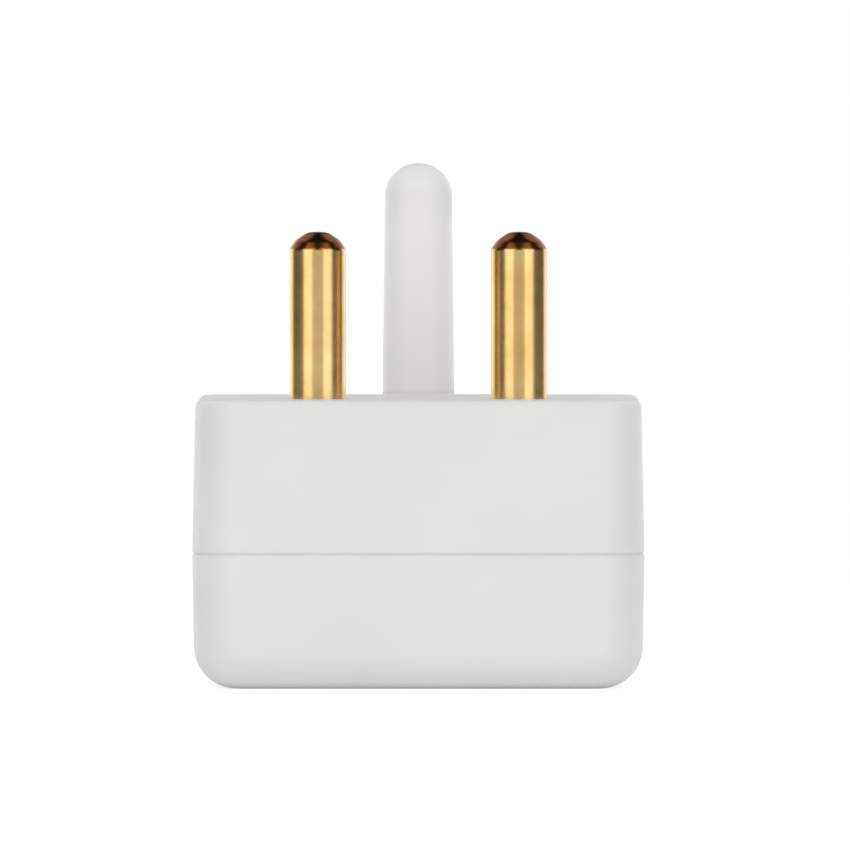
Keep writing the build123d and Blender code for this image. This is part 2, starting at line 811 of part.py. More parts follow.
# Coil spring between the rocker's bore and the plunger
spring_low = -stem_bore_top + spring_wire_d / 2 + spring_end_gap
spring_high = plunger_reach - plunger_length - spring_wire_d / 2 - spring_end_gap
with BuildPart() as rocker_spring:
    with BuildLine():
        coil = Helix(
            pitch=(spring_high - spring_low) / spring_turns,
            height=spring_high - spring_low,
            radius=(spring_d - spring_wire_d) / 2,
            center=stem_plane.offset(spring_low).origin,
            direction=stem_plane.z_dir,
        )
    with BuildSketch(Plane(origin=coil @ 0, z_dir=coil % 0)):
        Circle(spring_wire_d / 2)
    sweep(path=coil, is_frenet=True)
rocker_spring.part.label = "rocker_spring"
export_step(rocker_spring.part, "parts/rocker_spring.step")


# See-saw bridge in its off position, with edge notches that sit on the pivot's prongs
lean = radians(bridge_tilt)
bridge_plane = Plane(
    origin=(0, switch_y, bridge_pivot_z), x_dir=(cos(lean), 0, sin(lean)), z_dir=(0, -1, 0)
)
wing_plane = Plane(
    origin=(
        -contact_x * cos(2 * lean),
        switch_y,
        bridge_pivot_z - contact_x * sin(2 * lean),
    ),
    x_dir=(cos(2 * lean), 0, sin(2 * lean)),
    z_dir=(-sin(2 * lean), 0, cos(2 * lean)),
)
with BuildPart() as switch_bridge:
    wing_x = bridge_half * cos(lean)
    wing_drop = bridge_half * sin(lean)
    with BuildSketch(bridge_plane):
        with BuildLine():
            Polyline(
                (-wing_x, -wing_drop),
                (0, 0),
                (wing_x, -wing_drop),
                (wing_x, -wing_drop - bridge_t),
                (0, -bridge_t),
                (-wing_x, -wing_drop - bridge_t),
                close=True,
            )
        make_face()
    extrude(amount=bridge_width / 2, both=True)
    with BuildSketch(Plane(bridge_plane.origin, x_dir=bridge_plane.x_dir, z_dir=bridge_plane.y_dir)):
        with Locations((0, -bridge_width / 2), (0, bridge_width / 2)):
            Rectangle(bridge_notch, 2 * bridge_notch_depth)
    extrude(amount=2 * bridge_t, both=True, mode=Mode.SUBTRACT)
    with BuildSketch(wing_plane):
        Circle(contact_shank_d / 2 + strip_hole_gap)
    extrude(amount=2 * bridge_t, both=True, mode=Mode.SUBTRACT)
switch_bridge.part.label = "switch_bridge"
export_step(switch_bridge.part, "parts/switch_bridge.step")


# Silver contact riveted to the bridge
with BuildPart() as moving_contact:
    with BuildSketch(wing_plane):
        Circle(contact_d / 2)
    extrude(amount=contact_h)
    fillet(moving_contact.faces().sort_by(Axis.Z)[-1].edges(), contact_h / 4)
    with BuildSketch(wing_plane):
        Circle(contact_shank_d / 2)
    extrude(amount=-bridge_t)
moving_contact.part.label = "moving_contact"
export_step(moving_contact.part, "parts/moving_contact.step")


# Silver contact riveted to the foot of the feed terminal
with BuildPart() as fixed_contact:
    with BuildSketch(Plane.XY.offset(fixed_contact_z)):
        with Locations((-contact_x, switch_y)):
            Circle(contact_d / 2)
    extrude(amount=contact_h)
    fillet(fixed_contact.faces().sort_by(Axis.Z)[0].edges(), contact_h / 4)
    with BuildSketch(Plane.XY.offset(foot_z)):
        with Locations((-contact_x, switch_y)):
            Circle(contact_shank_d / 2)
    extrude(amount=terminal_t)
fixed_contact.part.label = "fixed_contact"
export_step(fixed_contact.part, "parts/fixed_contact.step")


# Feed terminal: a tab with a foot bent along the switch's floor
with BuildPart() as feed_terminal:
    with BuildSketch(side_plane(0, switch_y)):
        with BuildLine():
            Polyline(
                (-contact_x + terminal_foot, foot_z),
                (feed_tab_x - terminal_t / 2, foot_z),
                (feed_tab_x - terminal_t / 2, terminal_top_z),
                (feed_tab_x + terminal_t / 2, terminal_top_z),
                (feed_tab_x + terminal_t / 2, switch_inner_z),
                (-contact_x + terminal_foot, switch_inner_z),
                close=True,
            )
        make_face()
    extrude(amount=terminal_width / 2, both=True)
    chamfer(feed_terminal.edges().filter_by(Axis.X).group_by(Axis.Z)[-1], terminal_corner)
    with Locations((-contact_x, switch_y, switch_inner_z)):
        Hole(contact_shank_d / 2 + strip_hole_gap, depth=terminal_t)
feed_terminal.part.label = "feed_terminal"
export_step(feed_terminal.part, "parts/feed_terminal.step")


# Load terminal: a tab whose forked end is the bridge's pivot
with BuildPart() as load_terminal:
    fork_z = bridge_pivot_z + pivot_gap
    with BuildSketch(Plane(origin=(load_tab_x, switch_y, 0), x_dir=(0, 1, 0), z_dir=(1, 0, 0))):
        with Locations((0, fork_z)):
            Rectangle(
                terminal_width, terminal_top_z - fork_z, align=(Align.CENTER, Align.MIN)
            )
        prong_y = (terminal_width - prong_w) / 2
        with Locations((-prong_y, fork_z), (prong_y, fork_z)):
            Rectangle(prong_w, prong_drop, align=(Align.CENTER, Align.MAX))
    extrude(amount=terminal_t / 2, both=True)
    chamfer(load_terminal.edges().filter_by(Axis.X).group_by(Axis.Z)[-1], terminal_corner)
load_terminal.part.label = "load_terminal"
export_step(load_terminal.part, "parts/load_terminal.step")
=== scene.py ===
"""Looks of the switched plug adapter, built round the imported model. Lengths are in metres."""
import math

import bmesh
import bpy
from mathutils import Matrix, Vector


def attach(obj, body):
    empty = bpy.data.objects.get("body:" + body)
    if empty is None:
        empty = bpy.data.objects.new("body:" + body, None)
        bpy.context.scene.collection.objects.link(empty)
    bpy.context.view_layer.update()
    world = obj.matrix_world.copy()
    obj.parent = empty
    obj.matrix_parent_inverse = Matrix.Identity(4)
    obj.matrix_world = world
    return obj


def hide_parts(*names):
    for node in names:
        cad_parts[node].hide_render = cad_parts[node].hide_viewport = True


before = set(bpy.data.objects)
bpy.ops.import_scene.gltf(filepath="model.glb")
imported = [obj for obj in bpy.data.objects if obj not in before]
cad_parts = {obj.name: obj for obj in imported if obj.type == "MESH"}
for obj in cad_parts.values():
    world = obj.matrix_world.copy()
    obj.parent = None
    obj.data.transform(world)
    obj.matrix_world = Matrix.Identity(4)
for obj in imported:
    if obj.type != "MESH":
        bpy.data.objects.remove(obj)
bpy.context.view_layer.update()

MM = 0.001
TAU = 2 * math.pi

# How far a cutter or a joined piece reaches past the surface it meets
OVER = 0.5 * MM

# Housing, as in the solids. SIDE_FACE_R, the lower round of its left and right, is the photograph's.
BODY_HALF_X = 28.4 * MM
BODY_HALF_Y = 31.0 * MM
CORNER_R = 7.0 * MM
SPLIT_Z = 16.9 * MM
PIN_FACE_Z = SPLIT_Z + 19.3 * MM
PIN_DRAFT = math.radians(1.2)
SOCKET_DRAFT = math.radians(1.0)
PIN_FACE_R = 0.9 * MM
SOCKET_FACE_R = 4.5 * MM
SIDE_FACE_R = 5.3 * MM
SEAM = 0.3 * MM
WALL = 2.2 * MM
PLATE = 2.6 * MM
PLATE_Z = PIN_FACE_Z - PLATE
LIP_T = 1.0 * MM
LIP_H = 1.9 * MM
LIP_GAP = 0.1 * MM
RIB_T = 1.2 * MM
RIB_DROP = 2.0 * MM
RIM = 0.2 * MM
MOUTH_R = 0.4 * MM
INNER_FLOOR_R = 2.0 * MM

# Screws and their wells
SCREW_XY = (23.0 * MM, 25.6 * MM)
SCREW_D = 2.9 * MM
SCREW_BOSS_R = 3.25 * MM
SCREW_WELL_R = 3.1 * MM
SCREW_SEAT_Z = PIN_FACE_Z - 13.1 * MM
SCREW_END_Z = SCREW_SEAT_Z - 15.0 * MM
SCREW_HEAD_R = 2.8 * MM
SCREW_HEAD_H = 2.0 * MM
SCREW_HEAD_EDGE = 0.6 * MM
SCREW_NECK = 0.4 * MM
SCREW_PASS_GAP = 0.2 * MM
SCREW_HOLE_GAP = 0.02 * MM
SCREW_HOLE_SPARE = 1.5 * MM
DRIVE_ARM = (1.7 * MM, 0.45 * MM)
DRIVE_DEPTH = 1.0 * MM
DRIVE_TAPER = 0.62
THREAD_PITCH = 1.1 * MM
THREAD_DEPTH = 0.28 * MM
THREAD_POINT = 2.0 * MM

# Pins
EARTH_Y = 16.3 * MM
EARTH_FOOT_R = 4.55 * MM
EARTH_TIP_R = 4.25 * MM
EARTH_TOP_Z = PIN_FACE_Z + 29.6 * MM
EARTH_FILLET = 0.4 * MM
EARTH_CORE_R = 2.0 * MM
EARTH_CORE_END = 7.0 * MM
PIN_XY = (12.7 * MM, -12.3 * MM)
PIN_R = 3.53 * MM
PIN_TOP_Z = PIN_FACE_Z + 21.1 * MM
# Radius and depth below the top of the brass pin's nose: lead-in, shoulder, crown
PIN_LEAD_IN = (3.53 * MM, 2.2 * MM)
PIN_SHOULDER = (2.8 * MM, 1.1 * MM)
PIN_CROWN = (1.3 * MM, 0.1 * MM)
# How far each of these corners is rounded along its two sides
NOSE_BLENDS = (0.25 * MM, 0.4 * MM, 0.5 * MM)
PIN_EDGE = 0.12 * MM
SHOULDER_R = 3.8 * MM
PIN_HOLE_R = 3.85 * MM
PIN_BOSS_R = 6.55 * MM
FLANGE_R = 5.25 * MM
FLANGE_TOP_Z = PLATE_Z - 2.0 * MM
STRIP_TOP_Z = FLANGE_TOP_Z - 1.5 * MM
CARRIER_TOP_Z = STRIP_TOP_Z - 1.0 * MM
CARRIER_LOW_Z = CARRIER_TOP_Z - 3.0 * MM
TAIL_R = 2.0 * MM
TAIL_HEAD_R = 2.8 * MM
TAIL_HEAD_H = 0.8 * MM

# Outlets
OUTLET_YS = (0.6 * MM, 18.4 * MM)
OUTLET_HALF_W = 18.2 * MM
OUTLET_HALF_H = 7.3 * MM
OUTLET_FLAT = 13.4 * MM
OUTLET_END = 3.4 * MM
OUTLET_CORNER_R = 1.6 * MM
OUTLET_DEPTH = 6.0 * MM
OUTLET_FLOOR_Z = 8.0 * MM
OUTLET_WALL = 1.8 * MM
HOLE_X = 9.5 * MM
HOLE_R = 2.6 * MM
HOLE_LEAD = 0.6 * MM
GUIDE_R = 4.2 * MM
GUIDE_TOP_Z = 10.0 * MM
POST_XS = (-16.4 * MM, 16.4 * MM)
POST_YS = (-4.0 * MM, 22.4 * MM)
POST_R = 2.0 * MM
PEG_R = 1.0 * MM

# Rocker switch
SWITCH_Y = -17.6 * MM
SEAT_Z = 5.0 * MM
WELL_FLOOR_Z = 7.0 * MM
WELL_HALF = (12.0 * MM, 8.1 * MM)
WELL_R = 1.6 * MM
APERTURE_HALF = (10.4 * MM, 6.5 * MM)
PIVOT_Z = 6.7 * MM
ROCKER_TILT = math.radians(10.0)
ROCKER_END_R = 9.0 * MM
ROCKER_RISE = 3.55 * MM
ROCKER_SKIRT = 2.3 * MM
ROCKER_HALF_W = 5.1 * MM
ROCKER_EDGE = 0.35 * MM
CHEEK_R = 2.8 * MM
CHEEK_T = 1.2 * MM
CHEEK_ARC = (math.radians(158), math.radians(382))
CHEEK_INSET = 0.01 * MM
CHEEK_OVERLAP = 0.2 * MM
TRUNNION_OVERLAP = 0.3 * MM
TRUNNION_R = 1.2 * MM
TRUNNION_L = 0.9 * MM
STEM_R = 2.2 * MM
STEM_REACH = 4.0 * MM
STEM_BORE_R = 1.4 * MM
STEM_BORE_TOP = 1.5 * MM
MARK_X = 4.3 * MM
MARK_T = 0.5 * MM
MARK_SIZE = 2.6 * MM
MARK_DEPTH = 0.12 * MM
MARK_PROUD = 0.02 * MM

# Photograph: its frame, its scale at the brass pins, and where it looks
PHOTO_PX = 850
PX_PER_MM = 7.93
AIM = Vector((0.83 * MM, -12.3 * MM, 32.9 * MM))
CAMERA_DISTANCE = 3.0
CAMERA_ELEVATION = math.radians(0.87)

# Light: the fill that surfaces get, and the dark room with two bright cards that the metal mirrors
LOW_FILL = 0.22
HIGH_FILL = 0.67
SIDE_SHARE = 0.45
DARK = 0.07
CEILING = 0.03
FRONT_CARD = 0.56
BACK_CARD = 0.8
# Where along an axis of the sky each of them starts and ends to change
FILL_SPAN = (0.0, 0.7)
SIDE_SPAN = (0.4, 1.0)
FRONT_SPAN = (-0.35, -0.9)
BACK_SPAN = (0.35, 0.9)
CEILING_SPAN = (0.15, 0.6)
LAMP_RADIANCE = 1.15
LAMP_DISTANCE = 1.0
LAMP_HEIGHT = 0.55
LAMP_AZIMUTH = math.radians(42)
LAMP_SIZE = (0.85, 1.5)
LAMP_AIM_Z = 0.04
BACK_LAMP_SHARE = 0.5

# Floor: its size, its paint, and how much of it glows to the camera and to everything else
FLOOR_HALF = 0.6
FLOOR_FRONT = 0.75
FLOOR_T = 0.02
FLOOR_GREY = 0.9
FLOOR_ROUGHNESS = 0.9
FLOOR_GLOW = 1.25
GLOW_SEEN = 0.6
GLOW_UNSEEN = 0.15


# Meshes

def new_object(name, verts, faces):
    """A mesh object with outward normals."""
    mesh = bpy.data.meshes.new(name)
    mesh.from_pydata([tuple(v) for v in verts], [], faces)
    work = bmesh.new()
    work.from_mesh(mesh)
    bmesh.ops.recalc_face_normals(work, faces=work.faces)
    work.to_mesh(mesh)
    work.free()
    obj = bpy.data.objects.new(name, mesh)
    bpy.context.scene.collection.objects.link(obj)
    return obj


def arc(centre, radius, start, end, steps):
    """Points along an arc in two dimensions, both ends included. Angles are in radians."""
    points = []
    for i in range(steps + 1):
        angle = start + (end - start) * i / steps
        points.append((centre[0] + radius * math.cos(angle), centre[1] + radius * math.sin(angle)))
    return points


def blend_corner(back, corner, ahead, reach, steps=8):
    """Points that round a corner between two straight runs, from one side to the other."""
    at = Vector(corner)
    start = at + (Vector(back) - at).normalized() * reach
    end = at + (Vector(ahead) - at).normalized() * reach
    points = []
    for i in range(steps + 1):
        t = i / steps
        points.append(tuple(start * (1 - t) ** 2 + at * (2 * t * (1 - t)) + end * t**2))
    return points


def rounded(half_x, half_y, radius, centre=(0.0, 0.0), steps=20):
    """A rounded rectangle as a ring of points."""
    ring = []
    for i, (sx, sy) in enumerate(((1, 1), (-1, 1), (-1, -1), (1, -1))):
        corner = (centre[0] + sx * (half_x - radius), centre[1] + sy * (half_y - radius))
        ring += arc(corner, radius, i * TAU / 4, (i + 1) * TAU / 4, steps)
    return ring


def circle(radius, centre=(0.0, 0.0), steps=64):
    """A circle as a ring of points."""
    return arc(centre, radius, 0, TAU * (steps - 1) / steps, steps - 1)


def rectangle(half_x, half_y, centre=(0.0, 0.0)):
    """A rectangle as a ring of points."""
    x, y = centre
    return [
        (x + half_x, y + half_y), (x - half_x, y + half_y),
        (x - half_x, y - half_y), (x + half_x, y - half_y),
    ]


def stack(name, rings):
    """A closed solid through rings of as many points, each given as (ring, z)."""
    count = len(rings[0][0])
    verts = [(x, y, z) for ring, z in rings for x, y in ring]
    faces = [list(range(count))[::-1]]
    for level in range(len(rings) - 1):
        low = level * count
        for i in range(count):
            j = (i + 1) % count
            faces.append([low + i, low + j, low + count + j, low + count + i])
    faces.append([(len(rings) - 1) * count + i for i in range(count)])
    return new_object(name, verts, faces)


def prism(name, verts):
    """A closed solid between two rings of as many points, given one after the other."""
    count = len(verts) // 2
    faces = [list(range(count)), list(range(count, 2 * count))[::-1]]
    faces += [[i, (i + 1) % count, count + (i + 1) % count, count + i] for i in range(count)]
    return new_object(name, verts, faces)


def lathe(name, profile, centre=(0.0, 0.0), steps=96):
    """A turned solid. The profile runs from axis to axis as (radius, z)."""
    verts = []
    rows = []
    for radius, z in profile:
        if radius < 1e-9:
            rows.append([len(verts)] * steps)
            verts.append((centre[0], centre[1], z))
            continue
        row = []
        for i in range(steps):
            angle = TAU * i / steps
            row.append(len(verts))
            verts.append((centre[0] + radius * math.cos(angle), centre[1] + radius * math.sin(angle), z))
        rows.append(row)
    faces = []
    for low, high in zip(rows, rows[1:]):
        for i in range(steps):
            j = (i + 1) % steps
            face = []
            for index in (low[i], low[j], high[j], high[i]):
                if index not in face:
                    face.append(index)
            if len(face) > 2:
                faces.append(face)
    return new_object(name, verts, faces)


def shape(base, tool, operation):
    """Joins a tool to a solid, or cuts it away, and deletes the tool."""
    bpy.context.view_layer.update()
    step = base.modifiers.new("shape", "BOOLEAN")
    step.operation = operation
    step.solver = "EXACT"
    step.object = tool
    graph = bpy.context.evaluated_depsgraph_get()
    mesh = bpy.data.meshes.new_from_object(base.evaluated_get(graph))
    base.modifiers.remove(step)
    old = base.data
    base.data = mesh
    bpy.data.meshes.remove(old)
    bpy.data.objects.remove(tool)
    return base


def join(base, tool):
    """Makes one solid of two."""
    return shape(base, tool, "UNION")


def cut(base, tool):
    """Takes a tool's volume out of a solid."""
    return shape(base, tool, "DIFFERENCE")


def post(radius, place, low, high, steps=48):
    """A round post between two heights."""
    ring = circle(radius, place, steps)
    return stack("post", [(ring, low), (ring, high)])


def bar(half_x, half_y, place, low, high):
    """A square-cornered bar between two heights."""
    ring = rectangle(half_x, half_y, place)
    return stack("bar", [(ring, low), (ring, high)])


def hole(radius, place, low, high, rim_low=0.0, rim_high=0.0, steps=64):
    """A round cutter that flares at its ends, so that the edges it leaves are broken."""
    profile = [(0, low - (OVER if rim_low else 0))]
    if rim_low:
        profile += [(radius + rim_low, low - OVER), (radius + rim_low, low), (radius, low + rim_low)]
    else:
        profile += [(radius, low)]
    if rim_high:
        profile += [(radius, high - rim_high), (radius + rim_high, high), (radius + rim_high, high + OVER)]
    else:
        profile += [(radius, high)]
    profile += [(0, high + (OVER if rim_high else 0))]
    return lathe("hole", profile, place, steps)


def shade(obj, angle):
    """Smooth shading, with edges sharper than an angle in degrees kept."""
    obj.data.polygons.foreach_set("use_smooth", [True] * len(obj.data.polygons))
    obj.data.set_sharp_from_angle(angle=math.radians(angle))


def smooth(obj, angle=32.0):
    """Shades a piece smooth and leaves its flat faces flat."""
    shade(obj, angle)
    weights = obj.modifiers.new("normals", "WEIGHTED_NORMAL")
    weights.keep_sharp = True
    weights.weight = 80
    return obj


def weld(obj):
    """Joins the points that the cuts left doubled."""
    work = bmesh.new()
    work.from_mesh(obj.data)
    bmesh.ops.remove_doubles(work, verts=work.verts, dist=1e-7)
    bmesh.ops.dissolve_degenerate(work, edges=work.edges, dist=1e-7)
    work.to_mesh(obj.data)
    work.free()
    return obj


def housing_ring(inset):
    """The housing's outline in plan, set in by a distance."""
    return rounded(BODY_HALF_X - inset, BODY_HALF_Y - inset, CORNER_R - inset)


def round_inset(radius, z):
    """How far a round edge stands in at a height above the socket face."""
    return radius - math.sqrt(radius**2 - max(radius - z, 0.0) ** 2)


def screw_places():
    """Where the four screws stand in plan."""
    x, y = SCREW_XY
    return [(sx * x, sy * y) for sx in (-1, 1) for sy in (-1, 1)]


def pin_places():
    """Where the two brass pins stand in plan."""
    return [(sx * PIN_XY[0], PIN_XY[1]) for sx in (-1, 1)]


def post_places():
    """Where the posts that hold the contact carrier stand in plan."""
    return [(x, y) for x in POST_XS for y in POST_YS]


def hole_places():
    """Where the outlets' holes are in plan."""
    return [(sx * HOLE_X, y) for sx in (-1, 1) for y in OUTLET_YS]


# Housing

def make_pin_shell():
    """Pin-side shell with its tongue, ribs, screw tubes and earth pin."""
    slope = math.tan(PIN_DRAFT)
    top_inset = (PIN_FACE_Z - PIN_FACE_R - SPLIT_Z) * slope
    rings = [(housing_ring(SEAM), SPLIT_Z), (housing_ring(SEAM * slope), SPLIT_Z + SEAM)]
    for x, y in arc((0, 0), PIN_FACE_R, 0, TAU / 4, 8):
        rings.append((housing_ring(top_inset + PIN_FACE_R - x), PIN_FACE_Z - PIN_FACE_R + y))
    shell = stack("pin_shell_form", rings)

    cut(shell, stack("cavity", [
        (housing_ring(WALL), SPLIT_Z - OVER),
        (housing_ring(WALL), SPLIT_Z),
        (housing_ring(WALL + (PLATE_Z - SPLIT_Z) * slope), PLATE_Z),
    ]))
    tongue = stack("tongue", [
        (housing_ring(WALL - LIP_T), SPLIT_Z - LIP_H + LIP_GAP),
        (housing_ring(WALL - LIP_T), SPLIT_Z + OVER),
    ])
    cut(tongue, stack("tongue_inside", [
        (housing_ring(WALL), SPLIT_Z - LIP_H - OVER),
        (housing_ring(WALL), SPLIT_Z + 2 * OVER),
    ]))
    join(shell, tongue)

    deep = PLATE_Z + PLATE / 2
    for place in pin_places():
        join(shell, post(PIN_BOSS_R, place, FLANGE_TOP_Z, deep))
    for place in post_places():
        join(shell, post(POST_R, place, CARRIER_TOP_Z, deep))
    for y in POST_YS:
        join(shell, bar(BODY_HALF_X - WALL, RIB_T / 2, (0, y), PLATE_Z - RIB_DROP, deep))
    for x in POST_XS:
        join(shell, bar(RIB_T / 2, BODY_HALF_Y - WALL, (x, 0), PLATE_Z - RIB_DROP, deep))
    for place in screw_places():
        join(shell, post(SCREW_BOSS_R, place, SPLIT_Z - LIP_H, deep))
        collar = post(SCREW_WELL_R + RIB_T, place, SCREW_SEAT_Z - WALL, deep)
        ring = housing_ring(WALL / 2)
        limit = stack("limit", [(ring, SPLIT_Z), (ring, PIN_FACE_Z)])
        join(shell, shape(collar, limit, "INTERSECT"))

    foot = [(0, PLATE_Z + PLATE / 2), (EARTH_FOOT_R + EARTH_FILLET, PLATE_Z + PLATE / 2)]
    fillet_centre = (EARTH_FOOT_R + EARTH_FILLET, PIN_FACE_Z + EARTH_FILLET)
    foot += arc(fillet_centre, EARTH_FILLET, TAU * 3 / 4, TAU / 2, 6)
    nose = arc((0, EARTH_TOP_Z - EARTH_TIP_R), EARTH_TIP_R, 0, TAU / 4, 24)
    join(shell, lathe("earth_pin", foot + nose[:-1] + [(0, EARTH_TOP_Z)], (0, EARTH_Y), 96))
    core_top = EARTH_TOP_Z - EARTH_CORE_END
    core = [(0, PLATE_Z - RIB_DROP), (EARTH_CORE_R, PLATE_Z - RIB_DROP)]
    core += arc((0, core_top - EARTH_CORE_R), EARTH_CORE_R, 0, TAU / 4, 10)[:-1] + [(0, core_top)]
    cut(shell, lathe("core", core, (0, EARTH_Y), 32))

    pass_r = SCREW_D / 2 + SCREW_PASS_GAP
    for place in screw_places():
        cut(shell, hole(SCREW_WELL_R, place, SCREW_SEAT_Z, PIN_FACE_Z, 0, RIM))
        cut(shell, hole(pass_r, place, SPLIT_Z - LIP_H, SCREW_SEAT_Z + OVER, RIM, 0, 36))
    for place in pin_places():
        cut(shell, hole(PIN_HOLE_R, place, FLANGE_TOP_Z, PIN_FACE_Z, RIM / 2, RIM / 2))
    return smooth(weld(shell))


def outlet_ring(grow, y, steps=6):
    """The six-sided plan of one outlet recess with rounded corners, grown by a distance."""
    corners = [
        (OUTLET_HALF_W, -OUTLET_END), (OUTLET_HALF_W, OUTLET_END),
        (OUTLET_FLAT, OUTLET_HALF_H), (-OUTLET_FLAT, OUTLET_HALF_H),
        (-OUTLET_HALF_W, OUTLET_END), (-OUTLET_HALF_W, -OUTLET_END),
        (-OUTLET_FLAT, -OUTLET_HALF_H), (OUTLET_FLAT, -OUTLET_HALF_H),
    ]
    ring = []
    for i, here in enumerate(corners):
        at = Vector(here)
        back = (Vector(corners[i - 1]) - at).normalized()
        ahead = (Vector(corners[(i + 1) % len(corners)]) - at).normalized()
        half = back.angle(ahead) / 2
        centre = at + (back + ahead).normalized() * OUTLET_CORNER_R / math.sin(half)
        normal_in = Vector((-back.y, back.x))
        start = math.atan2(normal_in.y, normal_in.x)
        turn = math.pi - 2 * half
        ring += arc(centre, OUTLET_CORNER_R + grow, start, start + turn, steps)
    return [(x, y0 + y) for x, y0 in ring]


def well_ring(grow):
    """The plan of the rocker's well, grown by a distance."""
    return rounded(WELL_HALF[0] + grow, WELL_HALF[1] + grow, WELL_R + grow, (0, SWITCH_Y), 8)


def make_socket_shell():
    """Socket-side shell with its outlet recesses, the rocker's well and the posts inside."""
    slope = math.tan(SOCKET_DRAFT)
    low_inset = (SPLIT_Z - SIDE_FACE_R) * slope
    rings = []
    for _, z in arc((0, SIDE_FACE_R), SIDE_FACE_R, -TAU / 4, 0, 18):
        x_in = low_inset + round_inset(SIDE_FACE_R, z)
        y_in = low_inset + round_inset(SOCKET_FACE_R, z)
        ring = rounded(BODY_HALF_X - x_in, BODY_HALF_Y - y_in, CORNER_R - (x_in + y_in) / 2)
        rings.append((ring, z))
    rings += [(housing_ring(SEAM * slope), SPLIT_Z - SEAM), (housing_ring(SEAM), SPLIT_Z)]
    shell = stack("socket_shell_form", rings)

    inner = []
    inset = WALL + (SPLIT_Z - WALL - INNER_FLOOR_R) * slope
    for x, y in arc((0, 0), INNER_FLOOR_R, -TAU / 4, 0, 6):
        inner.append((housing_ring(inset + INNER_FLOOR_R - x), WALL + INNER_FLOOR_R + y))
    inner += [(housing_ring(WALL), SPLIT_Z), (housing_ring(WALL), SPLIT_Z + OVER)]
    cut(shell, stack("cavity", inner))

    deep = WALL / 2
    for y in OUTLET_YS:
        ring = outlet_ring(OUTLET_WALL, y)
        join(shell, stack("recess_wall", [(ring, deep), (ring, OUTLET_FLOOR_Z)]))
    ring = well_ring(OUTLET_WALL)
    join(shell, stack("well_wall", [(ring, deep), (ring, WELL_FLOOR_Z)]))
    for place in hole_places():
        join(shell, post(GUIDE_R, place, OUTLET_FLOOR_Z - OVER, GUIDE_TOP_Z))
    for place in screw_places():
        boss = post(SCREW_BOSS_R, place, deep, SPLIT_Z - LIP_H)
        ring = housing_ring(WALL + SOCKET_FACE_R / 4)
        limit = stack("limit", [(ring, 0), (ring, SPLIT_Z)])
        join(shell, shape(boss, limit, "INTERSECT"))
    ring = housing_ring(WALL - LIP_T - LIP_GAP)
    cut(shell, stack("rebate", [(ring, SPLIT_Z - LIP_H), (ring, SPLIT_Z + OVER)]))
    for place in post_places():
        join(shell, post(POST_R, place, deep, CARRIER_LOW_Z))
        join(shell, post(PEG_R, place, CARRIER_LOW_Z - OVER, CARRIER_LOW_Z + POST_R, 24))

    lip = arc((MOUTH_R, MOUTH_R), MOUTH_R, -TAU / 4, -TAU / 2, 6)
    for y in OUTLET_YS:
        rings = [(outlet_ring(MOUTH_R, y), -OVER)]
        rings += [(outlet_ring(x, y), z) for x, z in lip]
        rings.append((outlet_ring(0, y), OUTLET_DEPTH))
        cut(shell, stack("recess", rings))
    for place in hole_places():
        cut(shell, hole(HOLE_R, place, OUTLET_DEPTH, GUIDE_TOP_Z, HOLE_LEAD, RIM))
    hole_r = SCREW_D / 2 + SCREW_HOLE_GAP
    for place in screw_places():
        cut(shell, hole(hole_r, place, SCREW_END_Z - SCREW_HOLE_SPARE, SPLIT_Z - LIP_H, 0, RIM, 32))
    rings = [(well_ring(MOUTH_R), -OVER)] + [(well_ring(x), z) for x, z in lip] + [(well_ring(0), SEAT_Z)]
    cut(shell, stack("well", rings))
    cut(shell, bar(*APERTURE_HALF, (0, SWITCH_Y), SEAT_Z - OVER, WELL_FLOOR_Z + OVER))
    return smooth(weld(shell))


# Pins

def make_brass_pin(name, centre):
    """A turned pin: nose, shank, shoulder in the plate, flange and riveted tail."""
    tail_z = CARRIER_TOP_Z - TAIL_HEAD_H
    rim_r = TAIL_HEAD_H / 2
    profile = [(0, tail_z)]
    profile += arc((TAIL_HEAD_R - rim_r, tail_z + rim_r), rim_r, -TAU / 4, 0, 6)
    profile += [
        (TAIL_HEAD_R, CARRIER_TOP_Z), (TAIL_R, CARRIER_TOP_Z), (TAIL_R, STRIP_TOP_Z),
        (FLANGE_R - PIN_EDGE, STRIP_TOP_Z), (FLANGE_R, STRIP_TOP_Z + PIN_EDGE),
        (FLANGE_R, FLANGE_TOP_Z - PIN_EDGE), (FLANGE_R - PIN_EDGE, FLANGE_TOP_Z),
        (SHOULDER_R, FLANGE_TOP_Z), (SHOULDER_R, PIN_FACE_Z - PIN_EDGE),
        (SHOULDER_R - PIN_EDGE, PIN_FACE_Z), (PIN_R, PIN_FACE_Z),
    ]
    nose = [(radius, PIN_TOP_Z - down) for radius, down in (PIN_LEAD_IN, PIN_SHOULDER, PIN_CROWN)]
    run = [(PIN_R, PIN_FACE_Z), *nose, (0, PIN_TOP_Z)]
    for back, corner, ahead, reach in zip(run, run[1:], run[2:], NOSE_BLENDS):
        profile += blend_corner(back, corner, ahead, reach)
    profile += [(0, PIN_TOP_Z)]
    return smooth(lathe(name, profile, centre, 128), 24)


# Screws

